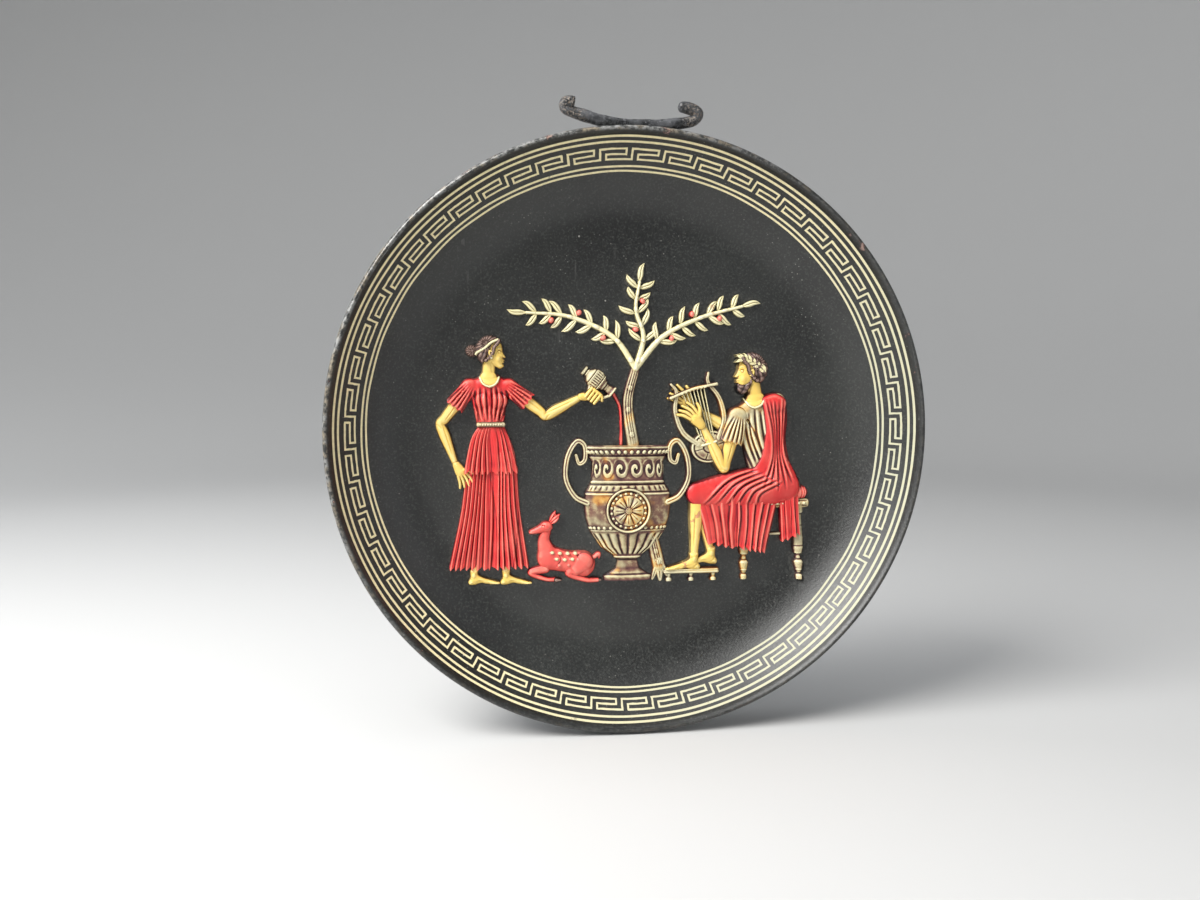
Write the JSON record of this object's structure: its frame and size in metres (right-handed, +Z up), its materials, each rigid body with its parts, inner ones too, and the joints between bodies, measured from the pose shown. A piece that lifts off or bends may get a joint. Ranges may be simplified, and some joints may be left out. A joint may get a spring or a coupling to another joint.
{
  "type": "decorative wall plaque",
  "caption": "Round dish-shaped wall plaque of fired clay with a moulded and painted scene, a painted key border and a curled handle at the top.",
  "frame": {"origin": "centre of the flat foot on the back, which lies against the wall", "axes": "+Z up the wall towards the handle, -Y out of the wall towards the viewer, +Y into the wall, +X to the viewer's right"},
  "size_m": [0.2996, 0.0364, 0.3134],
  "materials": {
    "black_slip": "satin black paint over fired clay, dusty and chipped to pink clay at the lip",
    "cream_line": "matt cream paint in brushed lines",
    "skin_ochre": "matt ochre yellow paint with pink chips and dark incised lines",
    "cloth_red": "satin red paint with lighter ridges",
    "bronze_wash": "cream and ochre paint under a brown-purple wash"
  },
  "bodies": {
    "root": {"relief_plate": "black_slip"}
  },
  "joints": []
}
